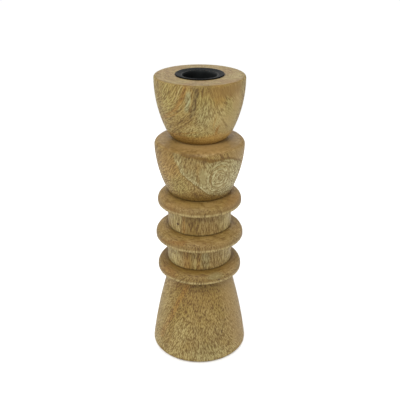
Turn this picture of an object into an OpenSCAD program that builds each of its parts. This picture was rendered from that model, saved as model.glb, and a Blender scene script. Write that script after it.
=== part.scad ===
// Turned wooden candlestick: five lathe-turned pieces stacked on hidden dowels,
// with a pressed metal candle insert in the top bowl and a felt pad under the foot.
// Millimetres. +Z is up, and the origin is on the axis at the underside of the felt pad.

/* [Foot] */
// Diameter of the conical foot where it meets the table
foot_d = 71.8; // [66:0.2:80]
// Height of the cone, up to the underside of its flange
foot_h = 65.1; // [55:0.1:80]
// Diameter of the cone just under its flange
foot_neck_d = 44.4; // [40:0.2:48]
// How far the cone's side bulges beyond a straight line
foot_bulge = 1.4; // [0.2:0.1:2]
// Diameter of the foot's flange
foot_flange_d = 62; // [58:0.2:68]
// Thickness of the foot's flange
foot_flange_t = 8.2; // [6:0.1:10]

/* [Spools] */
// Diameter of the lower spool's neck
lower_neck_d = 47.6; // [44:0.2:50]
// Height of the lower spool's neck
lower_neck_h = 18.4; // [12:0.1:24]
// Diameter of the lower spool's flange
lower_flange_d = 64; // [60:0.2:68]
// Thickness of the lower spool's flange
lower_flange_t = 9.1; // [7:0.1:10]
// Diameter of the upper spool's neck
upper_neck_d = 46.2; // [43:0.2:49]
// Height of the upper spool's neck
upper_neck_h = 17.5; // [12:0.1:24]
// Diameter of the upper spool's flange
upper_flange_d = 60.6; // [57:0.2:66]
// Thickness of the upper spool's flange
upper_flange_t = 8.8; // [7:0.1:10]

/* [Bowls] */
// Greatest diameter of the middle bowl
middle_bowl_d = 63.2; // [58:0.2:68]
// Height of the middle bowl
middle_bowl_h = 39.7; // [37:0.1:49]
// Greatest diameter of the top bowl
top_bowl_d = 61.8; // [58:0.2:68]
// Height of the top bowl
top_bowl_h = 43.4; // [43:0.1:52]

/* [Candle insert] */
// Bore of the insert, for a 22 mm dinner candle
bore_d = 22.4; // [22:0.1:23.4]
// Depth of the insert's cup below the top face of the wood
insert_depth = 22; // [20:0.5:22]
// Outer diameter of the insert's lip
lip_d = 33; // [32:0.5:36]
// Height of the lip's bead above the wood
lip_h = 0.9; // [0.6:0.1:1.2]

/* [Hidden] */
$fn = 96;
ARC_STEPS = 14;
FILLET_STEPS = 6;
// How far a cutting solid runs past the face that it opens
CUT = 1;

// Easing of the foot's lower edge
foot_edge = 1.6;

// Flanges: lower edge, share of the thickness that is domed, and width of each dome
flange_edge = 1.1;
dome_share = 0.73;
foot_dome_w = 6.2;
lower_dome_w = 9.8;
upper_dome_w = 9.4;
neck_edge = 0.5;

// Seam between the bowls, and how far the middle bowl's shoulder falls away from it to the lip
seam_r = 17;
shoulder_fall = 1;

// Middle bowl: radius just above its rounded underside, the two rounds, and the belly's sag
middle_base_r = 22.7;
middle_base_round = 1.1;
middle_lip_round = 3.7;
middle_belly = 1.9;

// Top bowl: radius and height at the head of its curved underside, that curve's sag, the round of
// its lip, and the belly's sag
top_base_r = 23.3;
top_base_rise = 6.7;
top_base_sag = 0.7;
top_lip_round = 1.5;
top_belly = 2;

// Felt pad, let into the underside of the foot and standing a little proud of it
felt_d = 58;
felt_t = 1.5;
felt_proud = 0.5;

// Dowels and their holes; the holes are deeper than the dowels, for glue
spine_d = 16;
spine_in_foot = 30;
spine_in_bowl = 15;
peg_d = 12;
peg_in_middle = 15;
peg_in_top = 10;
glue_gap = 0.5;
dowel_chamfer = 1;

// Metal insert: wall, corner inside the cup's floor, and roll at its mouth
sheet_t = 1;
floor_round = 2.2;
mouth_round = 1.6;
mouth_rise = 0.2;
dish_fall = 0.1;
pocket_depth = insert_depth + sheet_t;

// Wood screw that holds the insert down
screw_d = 3;
screw_core_d = 2.2;
screw_head_d = 5.6;
screw_head_h = 1.8;
screw_head_round = 1.2;
screw_length = 10;
screw_pitch = 1.2;
screw_tip = 2.4;
screw_slot_w = 0.9;
screw_slot_l = 3.2;
screw_slot_depth = 1;

// Levels of the joints between the turned pieces
foot_z = felt_proud;
foot_top = foot_z + foot_h + foot_flange_t;
lower_top = foot_top + lower_neck_h + lower_flange_t;
upper_top = lower_top + upper_neck_h + upper_flange_t;
middle_top = upper_top + middle_bowl_h;
wood_top = middle_top + top_bowl_h;
screw_seat_z = wood_top - insert_depth;

// ---- outline functions; every outline is drawn as [radius, height] ----

// Circular fillet from s to e round the corner c, where s and e are equally far from c
function fillet(s, c, e) =
    let (w = norm(e - s) / 2 / norm(c - s))
    [for (i = [0:FILLET_STEPS])
        let (t = i / FILLET_STEPS, a = (1 - t) * (1 - t), b = 2 * w * t * (1 - t), d = t * t)
        (a * s + b * c + d * e) / (a + b + d)];

// Fillet of radius r at a right-angled corner c, entered along in and left along out
function square_fillet(c, r, in, out) = fillet(c - r * in, c, c + r * out);

// Centre of the arc from a to b whose middle stands sag to the right of the straight way
function arc_centre(a, b, sag) =
    let (half = norm(b - a) / 2, r = (half * half + sag * sag) / (2 * sag), way = (b - a) / (2 * half))
    (a + b) / 2 + (r - sag) * [-way[1], way[0]];

// Points of that arc
function arc(a, b, sag) =
    let (
        c = arc_centre(a, b, sag), r = norm(a - c),
        start = atan2(a[1] - c[1], a[0] - c[0]), end = atan2(b[1] - c[1], b[0] - c[0])
    )
    [for (i = [0:ARC_STEPS]) let (t = start + (end - start) * i / ARC_STEPS) c + r * [cos(t), sin(t)]];

// Where the tangent to that arc at p crosses the level z
function tangent_at(p, c, z) = let (n = p - c) [p[0] - n[1] / n[0] * (z - p[1]), z];

// Side of a turned piece from a to b, bulging by sag, then a rounded shoulder up to level z
function upper_side(a, b, z, sag) =
    let (corner = tangent_at(b, arc_centre(a, b, sag), z))
    concat(arc(a, b, sag), fillet(b, corner, corner - [norm(corner - b), 0]));

// The same from level z0 to z1, with a rounded foot too
function turned_side(z0, z1, r0, r1, round0, round1, sag) =
    let (
        a = [r0, z0 + round0], b = [r1, z1 - round1],
        corner = tangent_at(a, arc_centre(a, b, sag), z0)
    )
    concat(fillet(corner - [norm(corner - a), 0], corner, a), upper_side(a, b, z1, sag));

// Flange from level z: flat below, a small lower edge, and a domed top that falls to the rim
function flange_side(z, r, t, dome_w) =
    let (rim_z = z + t * (1 - dome_share), dome_h = t * dome_share)
    concat(
        square_fillet([r, z], flange_edge, [1, 0], [0, 1]),
        [for (i = [0:ARC_STEPS]) let (q = 90 * i / ARC_STEPS)
            [r - dome_w * (1 - cos(q)), rim_z + dome_h * sin(q)]]
    );

// Side of the cone, with its lower edge eased, up to the flange's underside
function cone_side(z0, z1) =
    let (
        a = [foot_d / 2, z0 + foot_edge], b = [foot_neck_d / 2, z1],
        corner = tangent_at(a, arc_centre(a, b, foot_bulge), z0)
    )
    concat(fillet(corner - [norm(corner - a), 0], corner, a), arc(a, b, foot_bulge));

// Outline of the screw's shank and thread ridges, down from level z
function screw_side(z) =
    let (
        top_z = screw_seat_z - sheet_t, tip_z = screw_seat_z - screw_length,
        core = screw_core_d / 2, crest = screw_d / 2,
        ridges = floor((screw_length - sheet_t - screw_tip) / screw_pitch)
    )
    concat(
        [[0, z], [crest, z], [crest, top_z]],
        [for (i = [0:ridges - 1], k = [1:3])
            [k == 2 ? crest : core, top_z - (i + k / 4) * screw_pitch]],
        [[core, tip_z + screw_tip], [0, tip_z]]
    );

// ---- solids ----

module turned(outline) {
    rotate_extrude() polygon(outline);
}

// Plain hole along the axis from level z0 to z1
module axial_hole(d, z0, z1) {
    translate([0, 0, z0]) cylinder(d = d, h = z1 - z0);
}

// Round dowel with chamfered ends, from level z0 to z1
module dowel(d, z0, z1) {
    r = d / 2;
    c = dowel_chamfer;
    turned([[0, z0], [r - c, z0], [r, z0 + c], [r, z1 - c], [r - c, z1], [0, z1]]);
}

module felt_pad() {
    color("saddlebrown") cylinder(d = felt_d, h = felt_t);
}

// Conical foot with the lowest flange at its head
module foot() {
    under_flange = foot_z + foot_h;
    color("burlywood") difference() {
        turned(concat(
            [[0, foot_z]],
            cone_side(foot_z, under_flange),
            flange_side(under_flange, foot_flange_d / 2, foot_flange_t, foot_dome_w),
            [[0, foot_top]]
        ));
        axial_hole(felt_d, foot_z - CUT, felt_t);
        axial_hole(spine_d, foot_top - spine_in_foot - glue_gap, foot_top + CUT);
    }
}

// Spool: a straight neck with a domed flange on top, bored right through for the spine dowel
module spool(z0, neck_d, neck_h, flange_d, flange_t, dome_w) {
    z1 = z0 + neck_h;
    color("burlywood") difference() {
        turned(concat(
            [[0, z0]],
            square_fillet([neck_d / 2, z0], neck_edge, [1, 0], [0, 1]),
            [[neck_d / 2, z1]],
            flange_side(z1, flange_d / 2, flange_t, dome_w),
            [[0, z1 + flange_t]]
        ));
        axial_hole(spine_d, z0 - CUT, z1 + flange_t + CUT);
    }
}

module lower_spool() {
    spool(foot_top, lower_neck_d, lower_neck_h, lower_flange_d, lower_flange_t, lower_dome_w);
}

module upper_spool() {
    spool(lower_top, upper_neck_d, upper_neck_h, upper_flange_d, upper_flange_t, upper_dome_w);
}

module middle_bowl() {
    color("tan") difference() {
        turned(concat(
            [[0, upper_top]],
            turned_side(
                upper_top, middle_top - shoulder_fall, middle_base_r, middle_bowl_d / 2,
                middle_base_round, middle_lip_round, middle_belly
            ),
            [[seam_r, middle_top], [0, middle_top]]
        ));
        axial_hole(spine_d, upper_top - CUT, upper_top + spine_in_bowl + glue_gap);
        axial_hole(peg_d, middle_top - peg_in_middle - glue_gap, middle_top + CUT);
    }
}

// Top bowl, with the pocket for the insert and a pilot hole that fits the screw
module top_bowl() {
    base_head = [top_base_r, middle_top + top_base_rise];
    color("tan") difference() {
        turned(concat(
            [[0, middle_top]],
            arc([seam_r, middle_top], base_head, top_base_sag),
            upper_side(base_head, [top_bowl_d / 2, wood_top - top_lip_round], wood_top, top_belly),
            [[0, wood_top]]
        ));
        axial_hole(peg_d, middle_top - CUT, middle_top + peg_in_top + glue_gap);
        axial_hole(bore_d + 2 * sheet_t, wood_top - pocket_depth, wood_top + CUT);
        turned(screw_side(screw_seat_z));
    }
}

module spine_dowel() {
    color("wheat") dowel(spine_d, foot_top - spine_in_foot, upper_top + spine_in_bowl);
}

module bowl_dowel() {
    color("wheat") dowel(peg_d, middle_top - peg_in_middle, middle_top + peg_in_top);
}

// Pressed steel cup with a dished lip that rests on the wood and ends in a rounded bead
module candle_insert() {
    r = bore_d / 2;
    lip_r = lip_d / 2;
    bead_r = lip_h / 2;
    lip_top = wood_top + lip_h;
    pocket_z = wood_top - pocket_depth;
    color("dimgray") turned(concat(
        [[screw_d / 2, screw_seat_z]],
        square_fillet([r, screw_seat_z], floor_round, [1, 0], [0, 1]),
        fillet([r, wood_top - mouth_round], [r, wood_top], [r + mouth_round, wood_top + mouth_rise]),
        [[lip_r - 3 * bead_r, lip_top - dish_fall]],
        fillet([lip_r - bead_r, lip_top], [lip_r, lip_top], [lip_r, lip_top - bead_r]),
        [[lip_r, wood_top], [r + sheet_t, wood_top]],
        square_fillet([r + sheet_t, pocket_z], floor_round, [0, -1], [-1, 0]),
        [[screw_d / 2, pocket_z]]
    ));
}

// Screw whose head rests on the insert's floor and whose thread bites into the top bowl
module insert_screw() {
    head_z = screw_seat_z + screw_head_h;
    color("dimgray") difference() {
        union() {
            turned(screw_side(screw_seat_z));
            turned(concat(
                [[0, screw_seat_z], [screw_head_d / 2, screw_seat_z]],
                square_fillet([screw_head_d / 2, head_z], screw_head_round, [0, 1], [-1, 0]),
                [[0, head_z]]
            ));
        }
        for (a = [0, 90]) rotate(a)
            translate([-screw_slot_l / 2, -screw_slot_w / 2, head_z - screw_slot_depth])
                cube([screw_slot_l, screw_slot_w, screw_slot_depth + CUT]);
    }
}

felt_pad();
foot();
lower_spool();
upper_spool();
middle_bowl();
top_bowl();
spine_dowel();
bowl_dowel();
candle_insert();
insert_screw();
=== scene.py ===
import math
from collections import namedtuple

import bmesh
import bpy
import numpy as np
from mathutils import Euler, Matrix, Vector, noise

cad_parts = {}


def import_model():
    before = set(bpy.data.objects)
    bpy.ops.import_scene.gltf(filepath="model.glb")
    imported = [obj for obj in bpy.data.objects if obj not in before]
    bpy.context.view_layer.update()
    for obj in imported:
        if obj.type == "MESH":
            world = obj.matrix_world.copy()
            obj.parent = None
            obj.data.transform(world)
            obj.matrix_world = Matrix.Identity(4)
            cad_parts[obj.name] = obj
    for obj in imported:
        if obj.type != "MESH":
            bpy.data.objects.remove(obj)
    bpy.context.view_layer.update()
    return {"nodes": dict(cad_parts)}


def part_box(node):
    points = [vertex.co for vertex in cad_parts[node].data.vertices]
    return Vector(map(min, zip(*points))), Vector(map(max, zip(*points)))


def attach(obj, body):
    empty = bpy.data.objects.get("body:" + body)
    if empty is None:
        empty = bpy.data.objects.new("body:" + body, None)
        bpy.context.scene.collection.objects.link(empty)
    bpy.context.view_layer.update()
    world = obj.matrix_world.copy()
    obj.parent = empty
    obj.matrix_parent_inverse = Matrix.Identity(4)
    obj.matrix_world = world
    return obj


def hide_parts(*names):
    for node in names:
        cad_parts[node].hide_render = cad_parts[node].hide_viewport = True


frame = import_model()

MM = 0.001

# ---- outlines and lathe meshes

# The facets round a turned piece, the greatest gap between the points of an outline where it shows
# and where it doesn't, and the width of the Gaussian average along it.
SEGMENTS = 192
FINE_STEP = 0.5 * MM
HIDDEN_STEP = 3 * MM
SMOOTHING = 0.2 * MM

# Edges sharper than this, in degrees, stay sharp in the shading.
SHARP_EDGE = 50

# Lengths below SAME count as nothing, vertices closer than MERGE are joined, and an outline's step
# lower than LEVEL is level.
SAME = 1e-6
MERGE = 1e-7
LEVEL = 1e-9

# How far apart in the noise the fields of two seeds lie.
FIELD_SHIFT = Vector((7.13, 3.71, 1.93))
RING_SHIFT = 5.7


def section(node):
    """Outline of a round CAD node, as an ordered array of (radius, height), and whether it closes."""
    bm = bmesh.new()
    bm.from_mesh(frame["nodes"][node].data)
    bmesh.ops.remove_doubles(bm, verts=bm.verts, dist=SAME)
    for normal, clear in (((1, 0, 0), True), ((0, 1, 0), False)):
        geom = bm.verts[:] + bm.edges[:] + bm.faces[:]
        cut = bmesh.ops.bisect_plane(
            bm, geom=geom, dist=MERGE, plane_co=(0, 0, 0), plane_no=normal, clear_inner=clear
        )
    edges = [part for part in dict.fromkeys(cut["geom_cut"]) if isinstance(part, bmesh.types.BMEdge)]
    edges = [edge for edge in edges if max(abs(v.co.y) for v in edge.verts) < SAME]
    links = {}
    for edge in edges:
        v, w = edge.verts
        links.setdefault(v, []).append(w)
        links.setdefault(w, []).append(v)
    ends = [v for v in links if len(links[v]) == 1]
    path = [min(ends or links, key=lambda v: (v.co.z, v.co.x))]
    visited = set(path)
    while True:
        ahead = [w for w in links[path[-1]] if w not in visited]
        if not ahead:
            break
        path.append(ahead[0])
        visited.add(ahead[0])
    points = np.array([(v.co.x, v.co.z) for v in path])
    bm.free()
    return points, not ends


def resample(points, closed, step_at):
    """The outline with extra points, no further apart than step_at(radius, height) says."""
    if closed:
        points = np.vstack([points, points[:1]])
    out = [points[0]]
    for a, b in zip(points, points[1:]):
        length = np.linalg.norm(b - a)
        if length < SAME:
            continue
        count = max(1, math.ceil(length / step_at(*((a + b) / 2))))
        out += [a + (b - a) * i / count for i in range(1, count + 1)]
    return np.array(out[:-1] if closed else out)


def smoothed(points, closed, width):
    """The outline after a Gaussian average of that width along its length; its two ends stay."""
    n = len(points)
    steps = np.linalg.norm(np.roll(points, -1, axis=0) - points, axis=1)
    place = np.concatenate([[0], np.cumsum(steps)])
    gap = np.abs(place[:n, None] - place[None, :n])
    if closed:
        gap = np.minimum(gap, place[-1] - gap)
    weight = np.exp(-0.5 * (gap / width) ** 2) * (0.5 * (steps + np.roll(steps, 1)))[None, :]
    out = weight @ points / weight.sum(axis=1, keepdims=True)
    if not closed:
        out[0], out[-1] = points[0], points[-1]
    return out


def new_object(name, data):
    """A new object with this mesh, camera or light."""
    obj = bpy.data.objects.new(name, data)
    bpy.context.scene.collection.objects.link(obj)
    return obj


def turned(name, points, closed, shape, marks=None):
    """A mesh object turned about the Z axis from an outline, whose ends are on the axis if it is open.

    shape(radius, height, angle) gives the moved radius and height of every vertex, and marks(radius,
    height, angle) a dictionary of vertex attributes. Angles are in degrees: 0 at the front, -Y, and
    90 at the right, +X."""
    angle = np.arange(SEGMENTS) * 360 / SEGMENTS - 180
    r = np.repeat(points[:, 0], SEGMENTS).reshape(-1, SEGMENTS)
    z = np.repeat(points[:, 1], SEGMENTS).reshape(-1, SEGMENTS)
    a = np.broadcast_to(angle, r.shape)
    values = marks(r, z, a) if marks else {}
    r, z = shape(r, z, a)
    turn = np.radians(a)
    co = np.stack([r * np.sin(turn), -r * np.cos(turn), z], axis=-1).reshape(-1, 3)
    mesh = bpy.data.meshes.new(name)
    mesh.from_pydata(co.tolist(), [], side_faces(len(points), closed))
    for key, value in values.items():
        layer = mesh.attributes.new(key, "FLOAT", "POINT")
        layer.data.foreach_set("value", np.asarray(value, np.float32).ravel())
    bm = bmesh.new()
    bm.from_mesh(mesh)
    bmesh.ops.remove_doubles(bm, verts=bm.verts, dist=MERGE)
    bmesh.ops.recalc_face_normals(bm, faces=bm.faces)
    bm.to_mesh(mesh)
    bm.free()
    mesh.polygons.foreach_set("use_smooth", [True] * len(mesh.polygons))
    mesh.set_sharp_from_angle(angle=math.radians(SHARP_EDGE))
    return new_object(name, mesh)


def side_faces(rows, closed):
    """The four-cornered faces between each row of vertices and the next."""
    faces = []
    for i in range(rows if closed else rows - 1):
        j = (i + 1) % rows
        for k in range(SEGMENTS):
            m = (k + 1) % SEGMENTS
            faces.append((i * SEGMENTS + k, i * SEGMENTS + m, j * SEGMENTS + m, j * SEGMENTS + k))
    return faces


def wave_field(x, y, z, size, seed):
    """Smooth noise from -1 to 1 at arrays of points, with features of that size in metres."""
    flat = np.stack([x, y, z], axis=-1).reshape(-1, 3) / size
    shift = seed * FIELD_SHIFT
    out = [noise.noise(Vector(p) + shift) for p in flat]
    return np.array(out).reshape(x.shape)


def ring_noise(angle, size, seed):
    """Smooth noise from -1 to 1 round the axis, with features about size degrees wide."""
    scale = math.degrees(1) / size
    places = [Vector((math.sin(t) * scale, math.cos(t) * scale, seed * RING_SHIFT))
              for t in np.radians(angle[0])]
    return np.broadcast_to(np.array([noise.noise(place) for place in places]), angle.shape)


def step(value, start, end):
    """Smooth step from 0 at start to 1 at end."""
    t = np.clip((value - start) / (end - start), 0, 1)
    return t * t * (3 - 2 * t)


def spot(r, z, centre, half_size):
    """1 at a centre (radius, height), fading smoothly over half-sizes across and along the axis."""
    return np.exp(-((r - centre[0]) / half_size[0]) ** 2 - ((z - centre[1]) / half_size[1]) ** 2)


# ---- material graphs


def srgb(red, green, blue):
    """Linear colour from 8-bit display values."""
    def linear(c):
        c /= 255
        return c / 12.92 if c <= 0.04045 else ((c + 0.055) / 1.055) ** 2.4
    return (linear(red), linear(green), linear(blue), 1)


class Graph:
    """The node tree of a material or a world, with a short call for each kind of node it uses."""

    def __init__(self, owner, shader="Principled BSDF"):
        owner.use_nodes = True
        self.owner = owner
        self.tree = owner.node_tree
        self.shader = self.tree.nodes[shader]

    def node(self, kind, inputs=(), **settings):
        n = self.tree.nodes.new(kind)
        for key, value in settings.items():
            setattr(n, key, value)
        for key, value in dict(inputs).items():
            self.put(n.inputs[key], value)
        return n

    def put(self, socket, value):
        if isinstance(value, bpy.types.NodeSocket):
            self.tree.links.new(value, socket)
        else:
            socket.default_value = value

    def object_place(self):
        return self.node("ShaderNodeTexCoord").outputs["Object"]

    def math(self, operation, a, b=0.0, clamp=False):
        return self.node("ShaderNodeMath", {0: a, 1: b}, operation=operation, use_clamp=clamp).outputs[0]

    def plus(self, a, b):
        return self.math("ADD", a, b)

    def minus(self, a, b):
        return self.math("SUBTRACT", a, b)

    def times(self, a, b):
        return self.math("MULTIPLY", a, b)

    def vector(self, operation, a, b=(0, 0, 0)):
        n = self.node("ShaderNodeVectorMath", {0: a, 1: b}, operation=operation)
        return n.outputs["Value" if operation == "DOT_PRODUCT" else "Vector"]

    def scaled(self, vector, factor):
        return self.vector("MULTIPLY", vector, (factor, factor, factor))

    def unit(self, vector):
        return self.vector("NORMALIZE", vector)

    def length(self, vector):
        return self.node("ShaderNodeVectorMath", {0: vector}, operation="LENGTH").outputs["Value"]

    def split(self, vector):
        return self.node("ShaderNodeSeparateXYZ", {0: vector}).outputs

    def combine(self, x, y, z):
        return self.node("ShaderNodeCombineXYZ", {0: x, 1: y, 2: z}).outputs[0]

    def noise(self, vector, scale, detail=2.0, rough=0.5, output="Fac"):
        n = self.node("ShaderNodeTexNoise", {
            "Vector": vector, "Scale": scale, "Detail": detail, "Roughness": rough})
        return n.outputs[output]

    def drift(self, vector, scale, rough):
        """A noise vector with each part from -0.5 to 0.5, about 0 on average."""
        return self.vector("SUBTRACT", self.noise(vector, scale, 2, rough, "Color"), (0.5, 0.5, 0.5))

    def between(self, value, low, high, to_low=0.0, to_high=1.0):
        """Smooth step of value from low to high, onto to_low to to_high."""
        n = self.node("ShaderNodeMapRange", {
            "Value": value, "From Min": low, "From Max": high, "To Min": to_low, "To Max": to_high},
            interpolation_type="SMOOTHSTEP")
        return n.outputs["Result"]

    def mix(self, factor, a, b, blend="MIX"):
        n = self.node("ShaderNodeMix", {"Factor": factor}, data_type="RGBA", blend_type=blend)
        self.put(n.inputs[6], a)
        self.put(n.inputs[7], b)
        return n.outputs[2]

    def tinted(self, factor, colour, tint):
        """The colour multiplied by a tint, as far as the factor says."""
        return self.mix(factor, colour, self.mix(1.0, colour, tint, "MULTIPLY"))

    def attribute(self, name):
        return self.node("ShaderNodeAttribute", attribute_name=name).outputs["Fac"]

    def bump(self, height, distance, strength=1.0):
        n = self.node("ShaderNodeBump", {"Height": height, "Distance": distance, "Strength": strength})
        self.tree.links.new(n.outputs["Normal"], self.shader.inputs["Normal"])


# ---- marks in the wood

# The light on the front of the candlestick, the soft reflection on top of its own colour, and the
# darkest that a base colour may be.
FRONT_LIGHT = 1.37
REFLECTION = 0.02
DARKEST = 0.004


def seen(red, green, blue):
    """Base colour that shows as these 8-bit values under the studio light."""
    shown = srgb(red, green, blue)[:3]
    return tuple(max(DARKEST, c / FRONT_LIGHT - REFLECTION) for c in shown) + (1,)


PALE = seen(152, 137, 93)
CREAM = seen(170, 150, 98)
IVORY = seen(174, 160, 114)
HONEY = seen(148, 123, 74)
OLIVE = seen(155, 136, 82)
TAN = seen(155, 129, 82)
STRAW = seen(168, 142, 92)
AMBER = seen(156, 122, 66)
GOLD = seen(182, 146, 84)
PEACH = seen(182, 152, 102)
LOAM = seen(143, 118, 68)
SAND = seen(149, 124, 76)
BROWN = seen(140, 112, 66)
RUST = seen(146, 106, 57)
UMBER = seen(118, 92, 52)
GREY = seen(112, 95, 64)
ASH = seen(150, 141, 100)
DARK = seen(84, 60, 38)
# CREVICE is the painted shade in the joints, along each piece's lower edge.
CREVICE = seen(50, 37, 24)
WORN = seen(178, 160, 110)

# Every mark of figure has a tone and its strength, and says how much the flecks fade under it (calm).
# Angles are in degrees round the axis, 0 at the front and + to the right, and heights are in mm.
#
# Patch: a soft ellipsoid set in the surface, with its half-sizes across and along in mm, and its
# lean in degrees (+ leans right going up).
# Line and Streak: a line that runs round the piece through points of (angle, height), and one that
# runs down it, both with a half-width in mm.
# Zone: the wood between an upper and a lower line that run round the piece.
# Whorl: growth rings that show as ovals round one place, where the grain follows them. It has the
# outermost oval's half-sizes across and along in mm, and how many ovals there are.
Patch = namedtuple("Patch", "angle height across along tone strength calm lean", defaults=(0, 0))
Line = namedtuple("Line", "points width tone strength calm", defaults=(0,))
Streak = namedtuple("Streak", "points width tone strength calm", defaults=(0,))
Zone = namedtuple("Zone", "upper lower tone strength calm", defaults=(0,))
Whorl = namedtuple("Whorl", "angle height across along rings tone strength calm", defaults=(0,))

# A patch is clear and full at these shares of its half-sizes, and at least this deep into the wood,
# as a share of its half-size along. A zone's long edges fade over this far to each side, in mm. The
# other marks fade out this far past their ends, in degrees or mm, and are full from this share of
# that inside them. A line is clear and full at these half-widths from its middle.
PATCH_FADE = (1.5, 0.5)
PATCH_DEPTH = 0.4
ZONE_EDGE = 0.6
ZONE_END = 5
LINE_END = 6
STREAK_END = 2.5
FULL_WITHIN = 0.5
LINE_FADE = (1.5, 0.4)

# Where a whorl is clear and full: a ring, in ring gaps from its middle, the rings and the bent grain,
# as shares of the outermost oval, and both, in half-sizes into the wood.
RING_FADE = (0.32, 0.06)
WHORL_FADE = (1.1, 0.85)
WHORL_GRAIN = (1.2, 0.9)
WHORL_DEPTH = (-1.0, -0.6)


def ring(height):
    """The points of a level line all round a piece."""
    return (-200, height), (200, height)


def radius_at(outline, height):
    """Largest radius of an outline at a height, both in mm."""
    best = 0.0
    level = height * MM
    for (r0, z0), (r1, z1) in zip(outline, outline[1:]):
        if min(z0, z1) - SAME <= level <= max(z0, z1) + SAME:
            t = 0.5 if abs(z1 - z0) < LEVEL else (level - z0) / (z1 - z0)
            best = max(best, r0 + (r1 - r0) * t)
    return best / MM


def on_surface(outline, angle, height):
    """The point of a turned piece at an angle and a height, in mm."""
    radius = radius_at(outline, height)
    turn = math.radians(angle)
    return (radius * math.sin(turn), -radius * math.cos(turn), height)


def curve(g, value, points):
    """Smooth curve through the points (x, y), with y level beyond its ends."""
    xs, ys = zip(*sorted(points))
    low, high = min(ys), max(max(ys), min(ys) + 0.01)
    n = g.node("ShaderNodeFloatCurve")
    spots = n.mapping.curves[0].points
    while len(spots) < len(xs):
        spots.new(0.5, 0.5)
    for knot, x, y in zip(spots, xs, ys):
        knot.location = ((x - xs[0]) / (xs[-1] - xs[0]), (y - low) / (high - low))
    n.mapping.update()
    share = g.node("ShaderNodeMapRange", {"Value": value, "From Min": xs[0], "From Max": xs[-1]})
    g.put(n.inputs["Value"], share.outputs[0])
    back = g.node("ShaderNodeMapRange", {"Value": n.outputs[0], "To Min": low, "To Max": high})
    return back.outputs[0]


def inside(g, value, ends, soft):
    """Near 1 between the least and greatest of the ends, fading to 0 at soft beyond them."""
    low, high = min(ends), max(ends)
    rise = g.between(value, low - soft, low + FULL_WITHIN * soft)
    return g.times(rise, g.between(value, high + soft, high - FULL_WITHIN * soft))


class Surface:
    """A place on a turned piece, as nodes: its position in mm, its angle and its height."""

    def __init__(self, g, place):
        x, y, self.height = g.split(place)
        self.place = place
        turn = g.math("ARCTAN2", x, g.times(y, -1))
        self.angle = g.times(turn, math.degrees(1))


def patch_mask(g, at, mark, outline):
    """How far inside a patch a place is, from 0 to 1."""
    depth = max(mark.across, PATCH_DEPTH * mark.along)
    local = g.node("ShaderNodeMapping", {
        "Vector": at.place, "Location": on_surface(outline, mark.angle, mark.height),
        "Rotation": Euler((0, math.radians(mark.lean), math.radians(mark.angle))),
        "Scale": (mark.across, depth, mark.along)}, vector_type="TEXTURE").outputs[0]
    return g.between(g.length(local), *PATCH_FADE)


def zone_mask(g, at, mark, outline):
    """How far inside a zone a place is, from 0 to 1."""
    over = g.minus(at.height, curve(g, at.angle, mark.lower))
    under = g.minus(curve(g, at.angle, mark.upper), at.height)
    band = g.times(g.between(over, -ZONE_EDGE, ZONE_EDGE), g.between(under, -ZONE_EDGE, ZONE_EDGE))
    return g.times(band, inside(g, at.angle, [angle for angle, z in mark.lower], ZONE_END))


def thin_mask(g, away, ends, width):
    """How far inside a line or a streak a place is, from how far away its middle is in mm."""
    reach = g.math("DIVIDE", g.math("ABSOLUTE", away), width)
    return g.times(g.between(reach, *LINE_FADE), ends)


def line_mask(g, at, mark, outline):
    """How far inside a line a place is, from 0 to 1."""
    away = g.minus(at.height, curve(g, at.angle, mark.points))
    ends = inside(g, at.angle, [angle for angle, z in mark.points], LINE_END)
    return thin_mask(g, away, ends, mark.width)


def streak_mask(g, at, mark, outline):
    """How far inside a streak a place is, from 0 to 1."""
    heights = [z for angle, z in mark.points]
    mm_per_degree = math.radians(radius_at(outline, sum(heights) / len(heights)))
    away = g.minus(at.angle, curve(g, at.height, [(z, angle) for angle, z in mark.points]))
    ends = inside(g, at.height, heights, STREAK_END)
    return thin_mask(g, g.times(away, mm_per_degree), ends, mark.width)


def whorl_place(g, place, mark, outline):
    """Where a place is in a whorl: how far right of its middle, above it and out from it, as shares
    of the outermost oval, and from 0 to 1 whether it is on the whorl's side of the piece."""
    turn = math.radians(mark.angle)
    offset = g.vector("SUBTRACT", place, on_surface(outline, mark.angle, mark.height))
    right = (math.cos(turn) / mark.across, math.sin(turn) / mark.across, 0)
    side = g.vector("DOT_PRODUCT", offset, right)
    rise = g.vector("DOT_PRODUCT", offset, (0, 0, 1 / mark.along))
    outward = g.vector("DOT_PRODUCT", offset, (math.sin(turn), -math.cos(turn), 0))
    near = g.between(outward, *(share * mark.across for share in WHORL_DEPTH))
    return side, rise, g.length(g.combine(side, rise, 0)), near


def whorl_mask(g, at, mark, outline):
    """How far inside one of a whorl's rings a place is, from 0 to 1."""
    side, rise, reach, near = whorl_place(g, at.place, mark, outline)
    away = g.math("ABSOLUTE", g.minus(g.math("FRACT", g.times(reach, mark.rings)), 0.5))
    return g.times(g.times(g.between(away, *RING_FADE), g.between(reach, *WHORL_FADE)), near)


def whorl_grain(g, place, mark, outline, around):
    """The grain's direction round a whorl, and how fully the grain there follows it."""
    side, rise, reach, near = whorl_place(g, place, mark, outline)
    sideways = g.times(g.times(rise, g.math("SIGN", side)), 1 / mark.along)
    fall = g.times(g.math("ABSOLUTE", side), 1 / mark.across)
    level = g.vector("MULTIPLY", around, g.combine(sideways, sideways, sideways))
    direction = g.unit(g.vector("SUBTRACT", level, g.combine(0, 0, fall)))
    return direction, g.times(g.between(reach, *WHORL_GRAIN), near)


# The mask of each kind of mark. All of them take the same four values.
MASKS = {Patch: patch_mask, Zone: zone_mask, Line: line_mask, Streak: streak_mask, Whorl: whorl_mask}
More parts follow.
